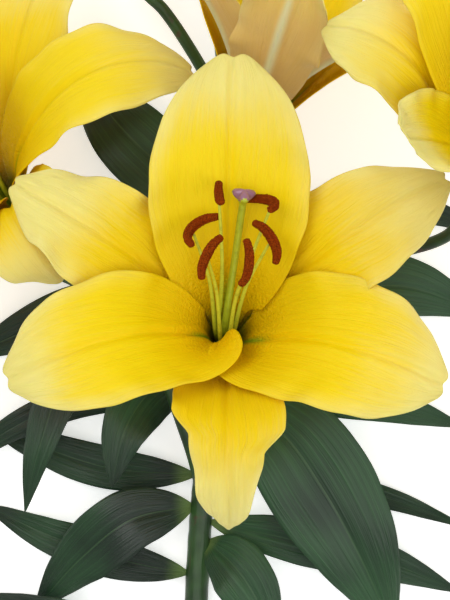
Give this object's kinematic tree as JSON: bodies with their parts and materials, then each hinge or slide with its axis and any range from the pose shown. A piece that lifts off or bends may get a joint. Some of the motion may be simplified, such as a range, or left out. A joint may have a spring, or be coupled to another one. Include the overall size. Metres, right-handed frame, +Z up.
{
  "type": "cut lily",
  "caption": "Cut stem of a large trumpet lily with open yellow blooms, closed buds, stamens and dark green leaves, lying on a table.",
  "frame": {"origin": "on the table, under the middle of the lying stem's bounding box", "axes": "+Z up from the table, +Y along the stem from its cut end to its buds, +X to the right of the open bloom that faces up"},
  "size_m": [0.436, 0.4106, 0.1691],
  "materials": {
    "tepal": "satin",
    "leaf": "satin",
    "stem": "satin",
    "filament": "satin",
    "anther": "matte",
    "pistil": "satin",
    "bud": "satin"
  },
  "bodies": {
    "root": {"main_top_inner_tepal": "tepal", "main_right_inner_tepal": "tepal", "main_left_inner_tepal": "tepal", "main_top_right_outer_tepal": "tepal", "main_bottom_outer_tepal": "tepal", "main_top_left_outer_tepal": "tepal", "main_top_left_filament": "filament", "main_top_left_anther": "anther", "main_top_right_filament": "filament", "main_top_right_anther": "anther", "main_right_filament": "filament", "main_right_anther": "anther", "main_bottom_right_filament": "filament", "main_bottom_right_anther": "anther", "main_bottom_left_filament": "filament", "main_bottom_left_anther": "anther", "main_left_filament": "filament", "main_left_anther": "anther", "main_pistil": "pistil", "left_top_outer_tepal": "tepal", "left_top_right_inner_tepal": "tepal", "left_bottom_right_outer_tepal": "tepal", "left_bottom_inner_tepal": "tepal", "left_bottom_left_outer_tepal": "tepal", "left_top_left_inner_tepal": "tepal", "left_stamens_and_pistil": "filament", "right_top_inner_tepal": "tepal", "right_top_right_outer_tepal": "tepal", "right_bottom_right_inner_tepal": "tepal", "right_bottom_outer_tepal": "tepal", "right_bottom_left_inner_tepal": "tepal", "right_top_left_outer_tepal": "tepal", "right_stamens_and_pistil": "filament", "back_top_outer_tepal": "tepal", "back_top_right_inner_tepal": "tepal", "back_bottom_right_outer_tepal": "tepal", "back_bottom_inner_tepal": "tepal", "back_bottom_left_outer_tepal": "tepal", "back_top_left_inner_tepal": "tepal", "back_stamens_and_pistil": "filament", "left_bud": "bud", "top_bud": "bud", "lowest_left_leaf": "leaf", "lowest_right_leaf": "leaf", "left_floor_leaf": "leaf", "low_middle_leaf": "leaf", "low_right_leaf": "leaf", "low_left_leaf": "leaf", "straight_left_leaf": "leaf", "narrow_right_leaf": "leaf", "big_right_leaf": "leaf", "arched_left_leaf": "leaf", "broad_dark_leaf": "leaf", "right_arched_leaf": "leaf", "hanging_left_leaf": "leaf", "right_broad_leaf": "leaf", "left_broad_leaf": "leaf", "upper_right_leaf": "leaf", "upper_left_leaf": "leaf", "stem": "stem"}
  },
  "joints": []
}
